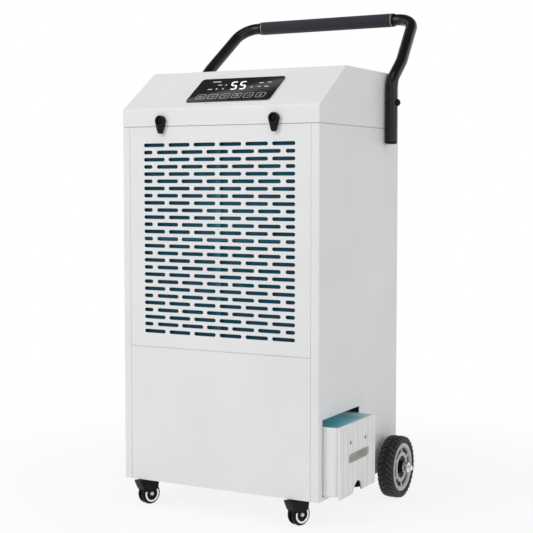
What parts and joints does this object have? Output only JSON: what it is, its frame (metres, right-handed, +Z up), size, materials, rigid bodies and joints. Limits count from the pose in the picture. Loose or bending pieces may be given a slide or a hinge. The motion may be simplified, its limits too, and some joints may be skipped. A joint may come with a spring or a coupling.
{
  "type": "dehumidifier",
  "caption": "Upright commercial dehumidifier on rear wheels and front swivel casters, with slotted intake grille, sloped hood, pull-out water tank and bent push handle.",
  "frame": {"origin": "on the floor, under the middle of the whole machine's bounding box", "axes": "+Z up, +X towards the water tank's side, +Y towards the rear and the push handle"},
  "size_m": [0.622, 0.5562, 1.118],
  "materials": {
    "base_pan": "zinc plated",
    "left_side_panel": "satin powder coat",
    "right_side_panel": "satin powder coat",
    "front_lower_panel": "satin powder coat",
    "front_grille_panel": "satin powder coat",
    "front_cross_rail": "zinc plated",
    "rear_panel": "satin powder coat",
    "cable_gland": "satin moulding",
    "drain_port": "fine satin moulding",
    "top_hood": "satin powder coat",
    "control_backplate": "fine satin moulding",
    "display_glass": "polished black glass",
    "control_board": "circuit board",
    "latch_left": "satin moulding",
    "latch_right": "satin moulding",
    "latch_screw_left": "zinc plated",
    "latch_screw_right": "zinc plated",
    "handle_tube": "gloss",
    "handle_grip": "closed-cell foam",
    "handle_plug_left": "satin moulding",
    "handle_plug_right": "satin moulding",
    "handle_bolt_left": "satin moulding",
    "handle_bolt_right": "satin moulding",
    "handle_crossbar": "zinc plated",
    "rear_axle": "zinc plated",
    "tyre_left": "treaded",
    "tyre_right": "treaded",
    "rim_left": "satin moulding",
    "rim_right": "satin moulding",
    "axle_nut_left": "bright",
    "axle_nut_right": "bright",
    "axle_bracket_left": "zinc plated",
    "axle_bracket_right": "zinc plated",
    "water_tank": "fine satin moulding",
    "tank_float": "fine satin moulding",
    "mid_shelf": "zinc plated",
    "drip_tray": "fine satin moulding",
    "drain_spout": "fine satin moulding",
    "air_filter": "nylon net in a moulded frame",
    "evaporator_coil": "coated fins",
    "condenser_coil": "coated fins",
    "fan_shroud": "zinc plated",
    "fan_impeller": "satin moulding",
    "fan_motor": "zinc plated",
    "motor_bracket": "zinc plated",
    "compressor": "gloss",
    "compressor_mount": "zinc plated",
    "suction_pipe": "bare copper",
    "discharge_pipe": "bare copper",
    "electrical_box": "zinc plated",
    "caster_left_plate": "zinc plated",
    "caster_left_body": "satin moulding",
    "caster_left_axle": "zinc plated",
    "caster_left_inner_wheel": "hard nylon tread",
    "caster_left_outer_wheel": "hard nylon tread",
    "caster_right_plate": "zinc plated",
    "caster_right_body": "satin moulding",
    "caster_right_axle": "zinc plated",
    "caster_right_inner_wheel": "hard nylon tread",
    "caster_right_outer_wheel": "hard nylon tread"
  },
  "bodies": {
    "cabinet": {"base_pan": "base_pan", "left_side_panel": "left_side_panel", "right_side_panel": "right_side_panel", "front_lower_panel": "front_lower_panel", "front_grille_panel": "front_grille_panel", "front_cross_rail": "front_cross_rail", "rear_panel": "rear_panel", "cable_gland": "cable_gland", "drain_port": "drain_port", "top_hood": "top_hood", "control_backplate": "control_backplate", "display_glass": "display_glass", "control_board": "control_board", "latch_screw_left": "latch_screw_left", "latch_screw_right": "latch_screw_right", "handle_tube": "handle_tube", "handle_grip": "handle_grip", "handle_plug_left": "handle_plug_left", "handle_plug_right": "handle_plug_right", "handle_bolt_left": "handle_bolt_left", "handle_bolt_right": "handle_bolt_right", "handle_crossbar": "handle_crossbar", "rear_axle": "rear_axle", "axle_nut_left": "axle_nut_left", "axle_nut_right": "axle_nut_right", "axle_bracket_left": "axle_bracket_left", "axle_bracket_right": "axle_bracket_right", "mid_shelf": "mid_shelf", "drip_tray": "drip_tray", "drain_spout": "drain_spout", "air_filter": "air_filter", "evaporator_coil": "evaporator_coil", "condenser_coil": "condenser_coil", "fan_shroud": "fan_shroud", "fan_motor": "fan_motor", "motor_bracket": "motor_bracket", "compressor": "compressor", "compressor_mount": "compressor_mount", "suction_pipe": "suction_pipe", "discharge_pipe": "discharge_pipe", "electrical_box": "electrical_box", "caster_left_plate": "caster_left_plate", "caster_right_plate": "caster_right_plate"},
    "latch_left": {"latch_left": "latch_left"},
    "latch_right": {"latch_right": "latch_right"},
    "wheel_left": {"tyre_left": "tyre_left", "rim_left": "rim_left"},
    "wheel_right": {"tyre_right": "tyre_right", "rim_right": "rim_right"},
    "caster_left": {"caster_left_body": "caster_left_body", "caster_left_axle": "caster_left_axle"},
    "caster_right": {"caster_right_body": "caster_right_body", "caster_right_axle": "caster_right_axle"},
    "caster_left_inner": {"caster_left_inner_wheel": "caster_left_inner_wheel"},
    "caster_left_outer": {"caster_left_outer_wheel": "caster_left_outer_wheel"},
    "caster_right_inner": {"caster_right_inner_wheel": "caster_right_inner_wheel"},
    "caster_right_outer": {"caster_right_outer_wheel": "caster_right_outer_wheel"},
    "water_tank": {"water_tank": "water_tank"},
    "tank_float": {"tank_float": "tank_float"},
    "fan": {"fan_impeller": "fan_impeller"}
  },
  "joints": [
    {"name": "tank_slide", "type": "slide", "parent": "cabinet", "child": "water_tank", "axis": [1, 0, 0], "range_m": [-0.034, 0.26]},
    {"name": "float_hinge", "type": "hinge", "parent": "water_tank", "child": "tank_float", "pos_m": [-0.068, -0.1599, 0.203], "axis": [0, 1, 0], "range_deg": [0, 35]},
    {"name": "latch_left_turn", "type": "hinge", "parent": "cabinet", "child": "latch_left", "pos_m": [-0.138, -0.2676, 0.847], "axis": [0, 1, 0], "range_deg": [-90, 90]},
    {"name": "latch_right_turn", "type": "hinge", "parent": "cabinet", "child": "latch_right", "pos_m": [0.138, -0.2676, 0.847], "axis": [0, 1, 0], "range_deg": [-90, 90]},
    {"name": "fan_spin", "type": "hinge", "parent": "cabinet", "child": "fan", "pos_m": [-0.01, -0.0819, 0.585], "axis": [0, 1, 0], "continuous": true},
    {"name": "wheel_left_spin", "type": "hinge", "parent": "cabinet", "child": "wheel_left", "pos_m": [-0.272, 0.0691, 0.07], "axis": [1, 0, 0], "continuous": true},
    {"name": "wheel_right_spin", "type": "hinge", "parent": "cabinet", "child": "wheel_right", "pos_m": [0.272, 0.0691, 0.07], "axis": [1, 0, 0], "continuous": true},
    {"name": "caster_left_swivel", "type": "hinge", "parent": "cabinet", "child": "caster_left", "pos_m": [-0.187, -0.2344, 0.0235], "axis": [0, 0, 1], "continuous": true},
    {"name": "caster_left_inner_spin", "type": "hinge", "parent": "caster_left", "child": "caster_left_inner", "pos_m": [-0.1913, -0.2456, 0.0235], "axis": [-0.9336, 0.3584, 0], "continuous": true},
    {"name": "caster_left_outer_spin", "type": "hinge", "parent": "caster_left", "child": "caster_left_outer", "pos_m": [-0.1913, -0.2456, 0.0235], "axis": [-0.9336, 0.3584, 0], "continuous": true},
    {"name": "caster_right_swivel", "type": "hinge", "parent": "cabinet", "child": "caster_right", "pos_m": [0.187, -0.2344, 0.0235], "axis": [0, 0, 1], "continuous": true},
    {"name": "caster_right_inner_spin", "type": "hinge", "parent": "caster_right", "child": "caster_right_inner", "pos_m": [0.1827, -0.2456, 0.0235], "axis": [-0.9336, 0.3584, 0], "continuous": true},
    {"name": "caster_right_outer_spin", "type": "hinge", "parent": "caster_right", "child": "caster_right_outer", "pos_m": [0.1827, -0.2456, 0.0235], "axis": [-0.9336, 0.3584, 0], "continuous": true}
  ]
}
